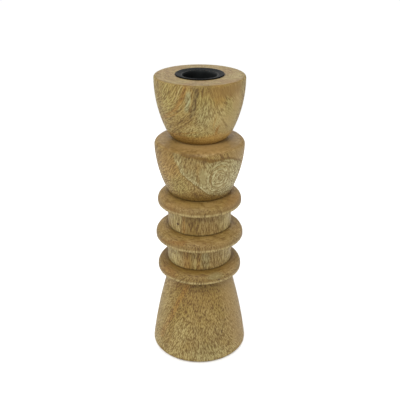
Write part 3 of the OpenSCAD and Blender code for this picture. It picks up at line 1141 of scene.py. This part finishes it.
def birch_material():
    """Plain birch dowel: pale, with fine straight fibres."""
    g = Graph(bpy.data.materials.new("birch"))
    fibre = g.noise(g.vector("MULTIPLY", g.object_place(), FIBRE_FINENESS), 1.0, 3, 0.6)
    g.put(g.shader.inputs["Base Color"], g.mix(g.between(fibre, *NOISE_RANGE), BIRCH_DARK, BIRCH_LIGHT))
    g.shader.inputs["Roughness"].default_value = BIRCH_ROUGHNESS
    g.bump(fibre, FIBRE_DEPTH)
    return g.owner


def dress(node, material):
    """Gives a CAD node that keeps its own shape a new material."""
    data = frame["nodes"][node].data
    data.materials.clear()
    data.materials.append(material)


# ---- camera, light and floor

# The camera stands in front of the candlestick and looks down on it. Lengths are in metres, angles in
# degrees, and the lens and its sensor in mm.
CAMERA_DISTANCE = 0.41057
CAMERA_HEIGHT = 0.30975
CAMERA_PITCH = 24.94
CAMERA_YAW = 0.046
CAMERA_ROLL = 0.13
LENS = 56.23
SENSOR_WIDTH = 36
NEAREST = 0.01

# The world's strength at the horizon and higher up, and the sines of the heights between which it
# changes.
HORIZON = 1.02
ZENITH = 0.6
SKY_RANGE = (0.02, 0.25)

# Each softbox: where it hangs, what it faces, its width in metres and its power.
MIDDLE = (0, 0, 0.1)
SOFTBOXES = {
    "key": ((-0.1, -0.72, 0.95), MIDDLE, 0.5, 8.6),
    "left": ((-0.85, 0.1, 0.45), MIDDLE, 0.6, 2.4),
    "right": ((0.85, 0.1, 0.4), MIDDLE, 0.6, 2.4),
    "front": ((-0.3, -1.0, 0.6), MIDDLE, 0.5, 1.5),
    "back": ((0, 0.7, 0.75), (0, 0.3, 0), 0.7, 4.0),
}

# The floor reaches this far each way, in metres, and its paper has this many tooth marks per metre.
FLOOR_REACH = 0.5
TOOTH_FINENESS = 400
TOOTH_RANGE = (0.2, 0.8)
PAPER_DARK = srgb(246, 246, 246)
PAPER_LIGHT = srgb(250, 250, 250)
PAPER_ROUGHNESS = 0.9


def camera():
    """The camera at the photograph's viewing angle."""
    data = bpy.data.cameras.new("camera")
    data.lens = LENS
    data.sensor_width = SENSOR_WIDTH
    data.clip_start = NEAREST
    obj = new_object("camera", data)
    obj.location = (0, -CAMERA_DISTANCE, CAMERA_HEIGHT)
    look = Euler((math.radians(90 - CAMERA_PITCH), 0, 0)).to_matrix()
    yaw = Euler((0, 0, math.radians(-CAMERA_YAW))).to_matrix()
    roll = Euler((0, 0, math.radians(CAMERA_ROLL))).to_matrix()
    obj.rotation_euler = (yaw @ look @ roll).to_euler()
    bpy.context.scene.camera = obj


def softbox(name, place, target, size, power):
    """A square area light at place, facing target."""
    data = bpy.data.lights.new(name, "AREA")
    data.shape = "SQUARE"
    data.size = size
    data.energy = power
    obj = new_object(name, data)
    obj.location = place
    obj.rotation_euler = (Vector(target) - Vector(place)).to_track_quat("-Z", "Y").to_euler()


def world():
    """A white tent, a little brighter near the horizon."""
    g = Graph(bpy.data.worlds.new("tent"), "Background")
    direction = g.node("ShaderNodeTexCoord").outputs["Generated"]
    g.shader.inputs["Color"].default_value = (1, 1, 1, 1)
    g.put(g.shader.inputs["Strength"], g.between(g.split(direction)[2], *SKY_RANGE, HORIZON, ZENITH))
    bpy.context.scene.world = g.owner


def floor():
    """A plain pale sheet of paper on the table."""
    mesh = bpy.data.meshes.new("floor")
    half = FLOOR_REACH
    corners = [(-half, -half, 0), (half, -half, 0), (half, half, 0), (-half, half, 0)]
    mesh.from_pydata(corners, [], [(0, 1, 2, 3)])
    obj = new_object("floor", mesh)
    g = Graph(bpy.data.materials.new("floor_paper"))
    tooth = g.noise(g.object_place(), TOOTH_FINENESS)
    g.put(g.shader.inputs["Base Color"], g.mix(g.between(tooth, *TOOTH_RANGE), PAPER_DARK, PAPER_LIGHT))
    g.shader.inputs["Roughness"].default_value = PAPER_ROUGHNESS
    mesh.materials.append(g.owner)


def studio():
    """A light tent with a main light high in front, weaker ones all round, and a pale floor."""
    bpy.context.scene.view_settings.view_transform = "Standard"
    world()
    for name, (place, target, size, power) in SOFTBOXES.items():
        softbox(name, place, target, size, power)
    floor()


# ---- the scene

camera()
studio()
for piece in WOODS:
    wooden_piece(piece)
candle_insert()
felt_pad()
birch = birch_material()
dress("spine_dowel", birch)
dress("bowl_dowel", birch)
dress("insert_screw", black_metal_material("black_screw", SCREW_BLACK, SCREW_ROUGHNESS))

bpy.context.view_layer.update()
